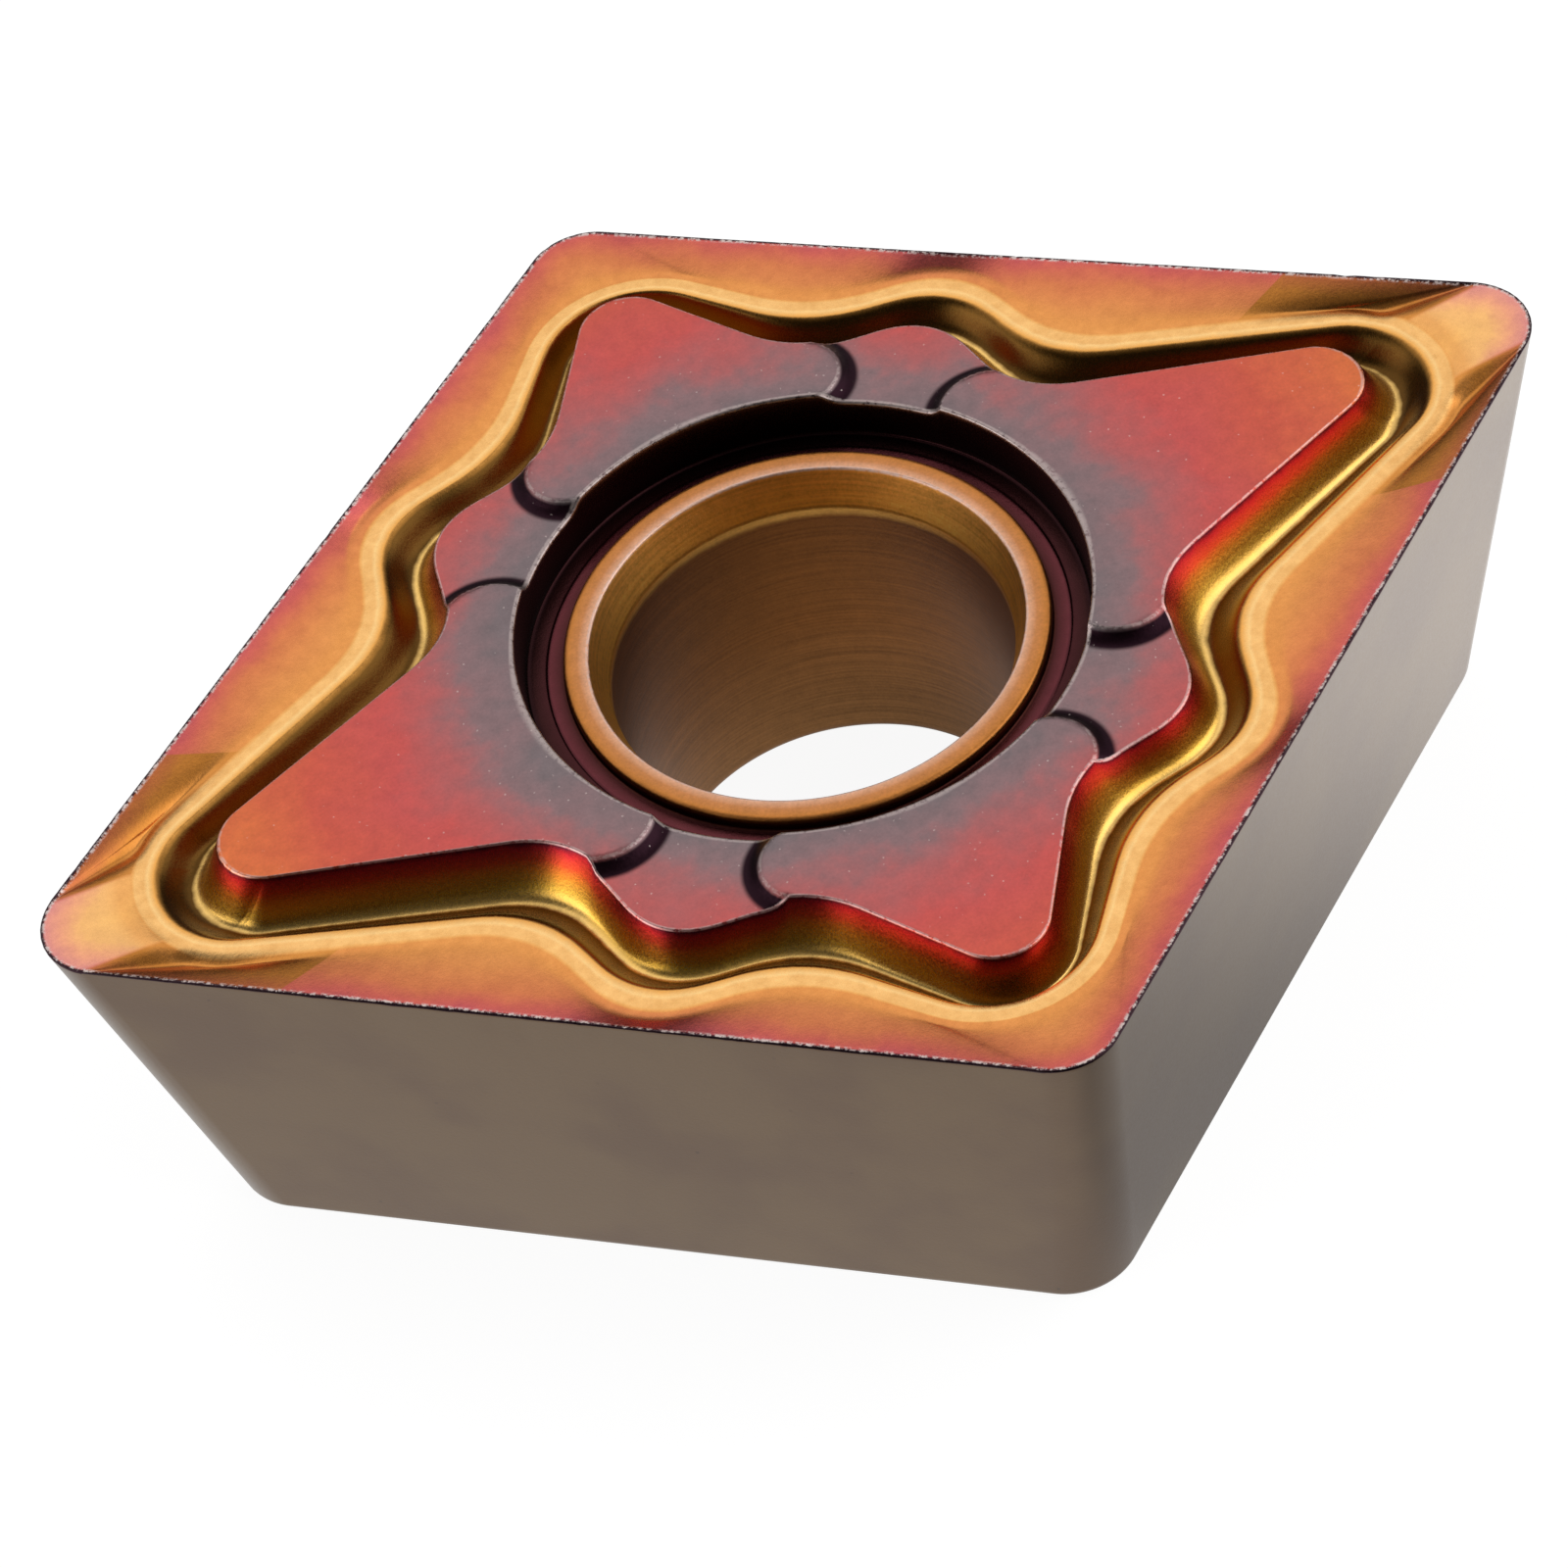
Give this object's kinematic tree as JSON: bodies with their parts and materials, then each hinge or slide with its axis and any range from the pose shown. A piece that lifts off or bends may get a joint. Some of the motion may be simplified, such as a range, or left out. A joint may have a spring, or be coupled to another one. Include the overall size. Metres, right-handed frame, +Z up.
{
  "type": "carbide insert",
  "caption": "Indexable rhombic carbide cutting insert with drafted flanks, rounded noses, a pressed chip-breaking relief on the top and a countersunk screw hole.",
  "frame": {"origin": "centre of the seat face, on the axis of the screw hole", "axes": "+Z up along the screw hole, from the seat to the relief; +X along the long diagonal, to one cutting nose"},
  "size_m": [0.0198, 0.0156, 0.0058],
  "materials": {
    "coated_carbide": "satin"
  },
  "bodies": {
    "root": {"insert": "coated_carbide"}
  },
  "joints": []
}
